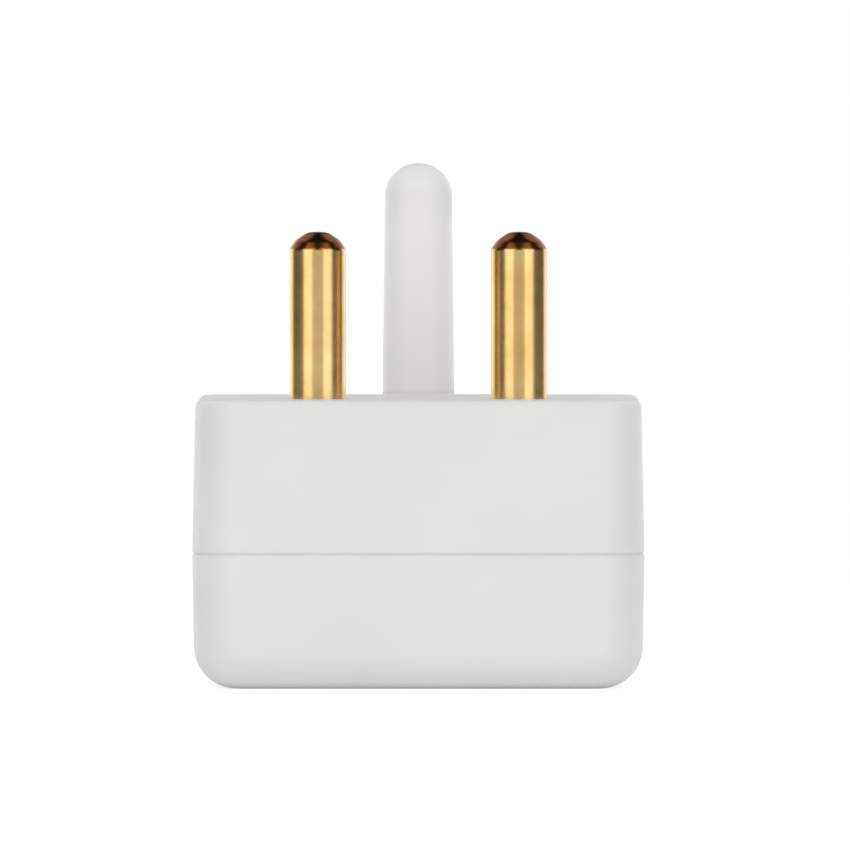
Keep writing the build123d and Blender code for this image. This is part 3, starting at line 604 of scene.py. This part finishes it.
def make_screws():
    """Four pan-head screws with a cross recess and a helical thread."""
    turned = []
    head_top = SCREW_SEAT_Z + SCREW_HEAD_H
    round_centre = (SCREW_HEAD_R - SCREW_HEAD_EDGE, head_top - SCREW_HEAD_EDGE)
    profile = [
        (0, SCREW_SEAT_Z - SCREW_NECK), (SCREW_D / 2 - THREAD_DEPTH, SCREW_SEAT_Z - SCREW_NECK),
        (SCREW_D / 2, SCREW_SEAT_Z), (SCREW_HEAD_R - RIM, SCREW_SEAT_Z),
        (SCREW_HEAD_R, SCREW_SEAT_Z + RIM), *arc(round_centre, SCREW_HEAD_EDGE, 0, TAU / 4, 8),
        (0, head_top),
    ]
    for place in screw_places():
        head = lathe("head", profile, place, 48)
        for arm in (DRIVE_ARM, DRIVE_ARM[::-1]):
            rings = []
            levels = ((DRIVE_TAPER, head_top - DRIVE_DEPTH), (1.0, head_top), (1.0, head_top + MM))
            for taper, z in levels:
                rings.append((rectangle(arm[0] * taper, arm[1] * taper, place), z))
            cut(head, stack("drive", rings))
        turned.append(head)
        turned.append(make_thread(place))
    bpy.ops.object.select_all(action="DESELECT")
    for obj in turned:
        obj.select_set(True)
    bpy.context.view_layer.objects.active = turned[0]
    bpy.ops.object.join()
    turned[0].name = "housing_screws_form"
    return smooth(turned[0], 30)


def make_thread(place, steps=36, per_turn=10):
    """A screw's shank whose radius follows a helix, running out to a point."""
    top, low = SCREW_SEAT_Z - SCREW_NECK, SCREW_END_Z
    count = int((top - low) / THREAD_PITCH * per_turn)
    root = SCREW_D / 2 - THREAD_DEPTH
    verts = [(place[0], place[1], low)]
    for row in range(1, count + 1):
        z = low + (top - low) * row / count
        taper = min(1.0, 0.25 + 0.75 * (z - low) / THREAD_POINT)
        for i in range(steps):
            phase = ((z - low) / THREAD_PITCH - i / steps) % 1.0
            ridge = max(0.0, 1.0 - abs(phase - 0.5) * 4.0)
            radius = (root + THREAD_DEPTH * ridge) * taper
            angle = TAU * i / steps
            verts.append((place[0] + radius * math.cos(angle), place[1] + radius * math.sin(angle), z))
    faces = [[0, 1 + (i + 1) % steps, 1 + i] for i in range(steps)]
    for row in range(count - 1):
        base = 1 + row * steps
        for i in range(steps):
            j = (i + 1) % steps
            faces.append([base + i, base + j, base + steps + j, base + steps + i])
    base = 1 + (count - 1) * steps
    faces.append([base + i for i in range(steps)])
    return new_object("thread", verts, faces)


# Rocker

def rocker_point(u, v, w):
    """A point given along the rocker, across it and outward from its pivot, in its off position."""
    c, s = math.cos(ROCKER_TILT), math.sin(ROCKER_TILT)
    return (u * c - w * s, SWITCH_Y + v, PIVOT_Z - u * s - w * c)


def rocker_solid(name, outline, v0, v1):
    """A solid whose outline lies along and outward of the rocker, between two widths."""
    return prism(name, [rocker_point(u, v, w) for v in (v0, v1) for u, w in outline])


def rocker_rod(name, radius, w0, w1, steps=40):
    """A round rod along the rocker's outward direction."""
    ring = circle(radius, (0, 0), steps)
    return prism(name, [rocker_point(u, v, w) for w in (w0, w1) for u, v in ring])


def rocker_crest():
    """Where each face of the rocker meets its round end."""
    slope = math.tan(ROCKER_TILT)
    root = (ROCKER_RISE * slope) ** 2 + (1 + slope**2) * (ROCKER_END_R**2 - ROCKER_RISE**2)
    x = (math.sqrt(root) - ROCKER_RISE * slope) / (1 + slope**2)
    return x, ROCKER_RISE + x * slope


def make_rocker():
    """Rocker with two sloping faces, round ends, cheeks, trunnions and the plunger's stem."""
    crest_x, crest_y = rocker_crest()
    skirt_x = math.sqrt(ROCKER_END_R**2 - ROCKER_SKIRT**2)
    top = math.atan2(crest_y, crest_x)
    low = math.atan2(ROCKER_SKIRT, skirt_x)
    right = arc((0, 0), ROCKER_END_R, top, low, 14)
    left = [(-x, y) for x, y in right][::-1]
    outline = [(0, ROCKER_RISE)] + right + left
    rocker = rocker_solid("rocker_form", outline, -ROCKER_HALF_W, ROCKER_HALF_W)
    round_off = rocker.modifiers.new("edges", "BEVEL")
    round_off.width = ROCKER_EDGE
    round_off.segments = 4
    round_off.limit_method = "ANGLE"
    round_off.angle_limit = math.radians(28)
    graph = bpy.context.evaluated_depsgraph_get()
    mesh = bpy.data.meshes.new_from_object(rocker.evaluated_get(graph))
    rocker.modifiers.clear()
    rocker.data = mesh

    for side in (-1, 1):
        inner = side * (ROCKER_HALF_W - CHEEK_T)
        outer = side * (ROCKER_HALF_W - CHEEK_INSET)
        spread, base = 2 * CHEEK_R, ROCKER_SKIRT + CHEEK_OVERLAP
        cheek = [(-spread, base)] + arc((0, 0), CHEEK_R, *CHEEK_ARC, 28) + [(spread, base)]
        join(rocker, rocker_solid("cheek", cheek, *sorted((inner, outer))))
        start, end = side * (ROCKER_HALF_W - TRUNNION_OVERLAP), side * (ROCKER_HALF_W + TRUNNION_L)
        join(rocker, rocker_solid("trunnion", circle(TRUNNION_R, (0, 0), 40), *sorted((start, end))))
    join(rocker, rocker_rod("stem", STEM_R, -STEM_REACH, ROCKER_SKIRT + CHEEK_T / 2))
    cut(rocker, rocker_rod("bore", STEM_BORE_R, -STEM_REACH - MM, STEM_BORE_TOP))
    return smooth(weld(rocker), 30)


def make_marks():
    """The bar and the ring that show on and off, one on each face of the rocker."""
    slope = math.tan(ROCKER_TILT)
    length = math.hypot(1, slope)

    def on_face(along, across, out, side):
        u = side * along / length
        w = ROCKER_RISE + abs(u) * slope + out / length
        return rocker_point(u - side * out * slope / length, across, w)

    verts = []
    for out in (-MARK_DEPTH, MARK_PROUD):
        for a, b in ((-1, -1), (1, -1), (1, 1), (-1, 1)):
            verts.append(on_face(MARK_X + a * MARK_T / 2, b * MARK_SIZE / 2, out, 1))
    bar_mark = prism("rocker_mark_on", verts)

    steps = 48
    verts, faces = [], []
    for out in (-MARK_DEPTH, MARK_PROUD):
        for radius in (MARK_SIZE / 2, MARK_SIZE / 2 - MARK_T):
            for a, b in circle(radius, (MARK_X, 0), steps):
                verts.append(on_face(a, b, out, -1))
    for i in range(steps):
        j = (i + 1) % steps
        a, b, c, d = 0, steps, 2 * steps, 3 * steps
        faces += [[a + i, a + j, b + j, b + i], [c + i, c + j, d + j, d + i]]
        faces += [[a + i, a + j, c + j, c + i], [b + i, b + j, d + j, d + i]]
    ring_mark = new_object("rocker_mark_off", verts, faces)
    return [bar_mark, ring_mark]


# Materials

class Nodes:
    """A material and short calls that add and link its nodes."""

    def __init__(self, name):
        self.material = bpy.data.materials.new(name)
        self.material.use_nodes = True
        self.tree = self.material.node_tree
        self.shader = self.tree.nodes["Principled BSDF"]
        self.place = self.add("ShaderNodeTexCoord").outputs["Object"]

    def add(self, kind, **settings):
        node = self.tree.nodes.new(kind)
        for key, value in settings.items():
            setattr(node, key, value)
        return node

    def link(self, out, into):
        self.tree.links.new(out, into)

    def noise(self, scale, detail=4.0, roughness=0.5, vector=None):
        node = self.add("ShaderNodeTexNoise")
        node.inputs["Scale"].default_value = scale
        node.inputs["Detail"].default_value = detail
        node.inputs["Roughness"].default_value = roughness
        self.link(vector or self.place, node.inputs["Vector"])
        return node.outputs["Fac"]

    def height(self):
        """The height above the socket face."""
        node = self.add("ShaderNodeSeparateXYZ")
        self.link(self.place, node.inputs[0])
        return node.outputs["Z"]

    def stretched(self, x, y, z):
        node = self.add("ShaderNodeMapping")
        node.inputs["Scale"].default_value = (x, y, z)
        self.link(self.place, node.inputs["Vector"])
        return node.outputs["Vector"]

    def ramp(self, value, low, high, start=0.35, end=0.65):
        node = self.add("ShaderNodeMapRange")
        node.inputs["From Min"].default_value = start
        node.inputs["From Max"].default_value = end
        node.inputs["To Min"].default_value = low
        node.inputs["To Max"].default_value = high
        self.link(value, node.inputs["Value"])
        return node.outputs["Result"]

    def blend(self, value, dark, light):
        node = self.add("ShaderNodeMix", data_type="RGBA")
        node.inputs[6].default_value = (*dark, 1)
        node.inputs[7].default_value = (*light, 1)
        self.link(value, node.inputs[0])
        return node.outputs[2]

    def above(self, under, colour, start, end):
        """Fades from one colour to another between two heights."""
        over = self.blend(self.ramp(self.height(), 0.0, 1.0, start, end), colour, colour)
        self.link(under, over.node.inputs[6])
        return over

    def bump(self, height, distance, strength=1.0, under=None):
        node = self.add("ShaderNodeBump")
        node.inputs["Distance"].default_value = distance
        node.inputs["Strength"].default_value = strength
        self.link(height, node.inputs["Height"])
        if under is not None:
            self.link(under, node.inputs["Normal"])
        return node.outputs["Normal"]

    def finish(self, colour=None, roughness=None, normal=None, **values):
        for out, name in ((colour, "Base Color"), (roughness, "Roughness"), (normal, "Normal")):
            if out is not None:
                self.link(out, self.shader.inputs[name])
        for name, value in values.items():
            self.shader.inputs[name.replace("_", " ")].default_value = value
        return self.material


def linear(r, g, b):
    """A colour picked as it appears on a screen, in the renderer's own terms."""
    return tuple(((v / 255 + 0.055) / 1.055) ** 2.4 if v > 10 else v / 255 / 12.92 for v in (r, g, b))


def plastic(name, dark, light, rough_low, rough_high, grain=9000.0, depth=0.004 * MM, pin=None, tip=None):
    """Moulded plastic: faint flow mottling, spark texture from the tool, uneven gloss.

    The housing's earth pin is painted paler, a painted light that makes up for the shade the brass pins and
    its distance from the lamps leave on it, and its tip a little less so, a painted shade at the tip.
    """
    m = Nodes(name)
    mottle = m.ramp(m.noise(75.0, 3.0), 0.0, 1.0, 0.3, 0.7)
    colour = m.blend(mottle, dark, light)
    # Painted light: above the pin face the earth pin fades to a paler colour, and near its top it fades back
    # a little, painted shade at the tip
    if pin:
        colour = m.above(colour, pin, PIN_FACE_Z, PIN_FACE_Z + MM)
        colour = m.above(colour, tip, EARTH_TOP_Z - 2 * EARTH_TIP_R, EARTH_TOP_Z - 0.3 * EARTH_TIP_R)
    spark = m.noise(grain, 3.0, 0.6)
    ripple = m.noise(260.0, 2.0)
    normal = m.bump(ripple, 0.03 * MM, 0.25)
    normal = m.bump(spark, depth, 0.5, normal)
    return m.finish(colour, m.ramp(m.noise(420.0, 3.0), rough_low, rough_high), normal, IOR=1.5)


def metal(name, dark, light, rough_low, rough_high, stretch=(1.0, 1.0, 60.0), nose=None):
    """Worked metal: fine marks along one direction and slight tarnish. A pin's nose is painted a darker
    brown, a painted dark reflection of the space above it.
    """
    m = Nodes(name)
    marks = m.noise(900.0, 5.0, 0.65, m.stretched(*stretch))
    tarnish = m.ramp(m.noise(160.0, 4.0, 0.6), 0.0, 1.0, 0.35, 0.7)
    normal = m.bump(marks, 0.003 * MM, 0.6)
    colour = m.blend(tarnish, light, dark)
    # Painted shade: above the lead-in edge the nose fades to a darker brown that stands in for the dark
    # reflection from above
    if nose:
        edge = PIN_TOP_Z - PIN_LEAD_IN[1]
        colour = m.above(colour, nose, edge - 0.1 * MM, edge + 0.1 * MM)
    return m.finish(colour, m.ramp(marks, rough_low, rough_high, 0.3, 0.7), normal, Metallic=1.0)


def make_materials():
    """Every finish on the adapter, by name."""
    return {
        "housing": plastic(
            "satin_white", linear(226, 226, 226), linear(230, 230, 229), 0.36, 0.46,
            # pin and tip are painted light on the earth pin, lifted less at the tip as painted shade
            pin=linear(243, 243, 243), tip=linear(234, 234, 234),
        ),
        "switch": plastic("switch_white", linear(224, 224, 223), linear(229, 229, 228), 0.24, 0.32, 14000.0),
        "mark": plastic("mark_grey", linear(70, 72, 74), linear(84, 86, 88), 0.4, 0.5, 14000.0),
        "carrier": plastic("natural_nylon", linear(205, 201, 186), linear(216, 212, 198), 0.45, 0.55, 6000.0),
        "pin_brass": metal(
            "turned_brass", linear(224, 183, 114), linear(239, 206, 142), 0.18, 0.26,
            # nose is a painted dark reflection on the brass pins' noses
            nose=linear(150, 92, 48),
        ),
        "strip_brass": metal(
            "rolled_brass", linear(196, 152, 84), linear(222, 180, 108), 0.26, 0.38, (40.0, 1.0, 1.0),
        ),
        "bronze": metal(
            "spring_bronze", linear(188, 126, 78), linear(212, 152, 98), 0.24, 0.34, (1.0, 40.0, 1.0),
        ),
        "silver": metal("contact_silver", linear(208, 206, 200), linear(228, 226, 220), 0.15, 0.25),
        "zinc": metal(
            "zinc_plated", linear(186, 188, 190), linear(210, 212, 214), 0.22, 0.34, (1.0, 1.0, 1.0),
        ),
        "steel": metal("spring_steel", linear(150, 152, 156), linear(178, 180, 184), 0.2, 0.3),
    }


def paint(obj, material):
    """Gives an object one material throughout."""
    if not obj.data.materials:
        obj.data.materials.append(material)
    for slot in obj.material_slots:
        slot.material = material


def soften(obj, width):
    """Breaks the sharp edges of a piece that keeps its solid, and shades it smooth."""
    bevel = obj.modifiers.new("edges", "BEVEL")
    bevel.width = width
    bevel.segments = 2
    bevel.limit_method = "ANGLE"
    bevel.angle_limit = math.radians(40)
    shade(obj, 35)


# Studio

def make_floor():
    """A pale floor that the camera sees as white and that keeps the adapter's shadow."""
    depth = (FLOOR_HALF + FLOOR_FRONT) / 2
    ring = rectangle(FLOOR_HALF, depth, (0, FLOOR_HALF - depth))
    floor = stack("floor", [(ring, -FLOOR_T), (ring, 0.0)])
    m = Nodes("pale_floor")
    m.shader.inputs["Base Color"].default_value = (FLOOR_GREY, FLOOR_GREY, FLOOR_GREY, 1)
    m.shader.inputs["Roughness"].default_value = FLOOR_ROUGHNESS
    glow = m.add("ShaderNodeEmission")
    glow.inputs["Color"].default_value = (1, 1, 1, 1)
    glow.inputs["Strength"].default_value = FLOOR_GLOW
    seen = m.add("ShaderNodeLightPath")
    share = m.add("ShaderNodeMapRange")
    share.inputs["To Min"].default_value = GLOW_UNSEEN
    share.inputs["To Max"].default_value = GLOW_SEEN
    mix = m.add("ShaderNodeMixShader")
    m.link(seen.outputs["Is Camera Ray"], share.inputs["Value"])
    m.link(share.outputs["Result"], mix.inputs[0])
    m.link(m.shader.outputs[0], mix.inputs[1])
    m.link(glow.outputs[0], mix.inputs[2])
    m.link(mix.outputs[0], m.tree.nodes["Material Output"].inputs["Surface"])
    paint(floor, m.material)


def make_world():
    """White to the camera, a soft fill for the surfaces, and a studio with dark sides for the metal."""
    world = bpy.data.worlds.new("studio")
    bpy.context.scene.world = world
    world.use_nodes = True
    tree = world.node_tree
    tree.nodes.clear()
    add, link = tree.nodes.new, tree.links.new

    def calculate(operation, a, b):
        node = add("ShaderNodeMath")
        node.operation = operation
        for socket, value in zip(node.inputs, (a, b)):
            if isinstance(value, (int, float)):
                socket.default_value = value
            else:
                link(value, socket)
        return node.outputs[0]

    def grade(value, start, end, low, high):
        node = add("ShaderNodeMapRange")
        node.interpolation_type = "SMOOTHSTEP"
        link(value, node.inputs["Value"])
        for name, number in (("From Min", start), ("From Max", end), ("To Min", low), ("To Max", high)):
            node.inputs[name].default_value = number
        return node.outputs["Result"]

    def background(strength):
        node = add("ShaderNodeBackground")
        node.inputs["Color"].default_value = (1, 1, 1, 1)
        if isinstance(strength, (int, float)):
            node.inputs["Strength"].default_value = strength
        else:
            link(strength, node.inputs["Strength"])
        return node.outputs[0]

    def choose(condition, off, on):
        node = add("ShaderNodeMixShader")
        link(condition, node.inputs[0])
        link(off, node.inputs[1])
        link(on, node.inputs[2])
        return node.outputs[0]

    split = add("ShaderNodeSeparateXYZ")
    link(add("ShaderNodeTexCoord").outputs["Generated"], split.inputs[0])
    across = calculate("ABSOLUTE", split.outputs["X"], 0)
    rising = grade(split.outputs["Z"], *FILL_SPAN, LOW_FILL, HIGH_FILL)
    fill = calculate("MULTIPLY", rising, grade(across, *SIDE_SPAN, 1.0, SIDE_SHARE))
    front = grade(split.outputs["Y"], *FRONT_SPAN, DARK, FRONT_CARD)
    back = grade(split.outputs["Y"], *BACK_SPAN, 0.0, BACK_CARD)
    above = grade(split.outputs["Z"], *CEILING_SPAN, 1.0, CEILING)
    mirrored = calculate("MULTIPLY", calculate("ADD", front, back), above)

    path = add("ShaderNodeLightPath")
    shiny = calculate("MAXIMUM", path.outputs["Is Glossy Ray"], path.outputs["Is Transmission Ray"])
    unseen = choose(shiny, background(fill), background(mirrored))
    out = add("ShaderNodeOutputWorld")
    link(choose(path.outputs["Is Camera Ray"], unseen, background(1.0)), out.inputs[0])


def make_lamps():
    """Two tall soft boxes in front, left and right, and two weaker ones behind."""
    centre = Vector((0, 0, LAMP_AIM_Z))
    full = LAMP_RADIANCE * math.pi * LAMP_SIZE[0] * LAMP_SIZE[1]
    for side in (-1, 1):
        for power, azimuth in ((full, LAMP_AZIMUTH), (full * BACK_LAMP_SHARE, math.pi - LAMP_AZIMUTH)):
            lamp = bpy.data.lights.new("soft_box", "AREA")
            lamp.shape = "RECTANGLE"
            lamp.size, lamp.size_y = LAMP_SIZE
            lamp.energy = power
            obj = bpy.data.objects.new("soft_box", lamp)
            bpy.context.scene.collection.objects.link(obj)
            out = Vector((side * math.sin(azimuth), -math.cos(azimuth), 0.0))
            obj.location = centre + out * LAMP_DISTANCE + Vector((0, 0, LAMP_HEIGHT))
            obj.rotation_euler = (centre - obj.location).to_track_quat("-Z", "Y").to_euler()


def make_camera():
    """A long lens, nearly level, square to one side as in the photograph."""
    camera = bpy.data.cameras.new("camera")
    camera.sensor_width = 36.0
    width = PHOTO_PX / PX_PER_MM * MM
    camera.lens = camera.sensor_width * CAMERA_DISTANCE / width
    camera.clip_end = 50.0
    obj = bpy.data.objects.new("camera", camera)
    bpy.context.scene.collection.objects.link(obj)
    back = Vector((0, -math.cos(CAMERA_ELEVATION), math.sin(CAMERA_ELEVATION)))
    obj.location = AIM + back * CAMERA_DISTANCE
    obj.rotation_euler = (-back).to_track_quat("-Z", "Y").to_euler()
    bpy.context.scene.camera = obj


# The adapter

def fit(obj, body, slot, material, *nodes):
    """Puts a finished piece on its body in place of the solids that it stands for."""
    paint(obj, material)
    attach(obj, body)
    if nodes:
        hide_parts(*nodes)


def build():
    """Makes the pieces that stand for a solid, and finishes the solids that show as they are."""
    finishes = make_materials()
    fit(make_pin_shell(), "housing", "housing_white", finishes["housing"], "pin_shell")
    fit(make_socket_shell(), "housing", "housing_white", finishes["housing"], "socket_shell")
    for node, centre in zip(("line_pin", "neutral_pin"), pin_places()):
        fit(make_brass_pin(node + "_form", centre), "housing", "pin_brass", finishes["pin_brass"], node)
    fit(make_screws(), "housing", "plated_steel", finishes["zinc"], "housing_screws")
    fit(make_rocker(), "rocker", "switch_white", finishes["switch"], "rocker")
    for mark in make_marks():
        fit(mark, "rocker", "switch_white", finishes["mark"])

    # Each solid's finish, and how far its edges are broken, in millimetres
    kept = {
        "switch_body": ("switch", 0.12),
        "contact_carrier": ("carrier", 0.2),
        "line_inlet_strip": ("strip_brass", 0.08), "line_outlet_strip": ("strip_brass", 0.08),
        "neutral_strip": ("strip_brass", 0.08),
        "line_contact_lower": ("bronze", 0.06), "line_contact_upper": ("bronze", 0.06),
        "neutral_contact_lower": ("bronze", 0.06), "neutral_contact_upper": ("bronze", 0.06),
        "contact_rivets": ("pin_brass", 0.08),
        "rocker_spring": ("steel", 0.0), "rocker_plunger": ("pin_brass", 0.0),
        "switch_bridge": ("bronze", 0.06),
        "moving_contact": ("silver", 0.0), "fixed_contact": ("silver", 0.0),
        "feed_terminal": ("strip_brass", 0.06), "load_terminal": ("strip_brass", 0.06),
    }
    for node, (finish, edge) in kept.items():
        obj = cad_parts[node]
        paint(obj, finishes[finish])
        if edge:
            soften(obj, edge * MM)
        else:
            shade(obj, 40)


make_camera()
make_world()
make_lamps()
make_floor()
build()

scene = bpy.context.scene
scene.view_settings.view_transform = "Standard"
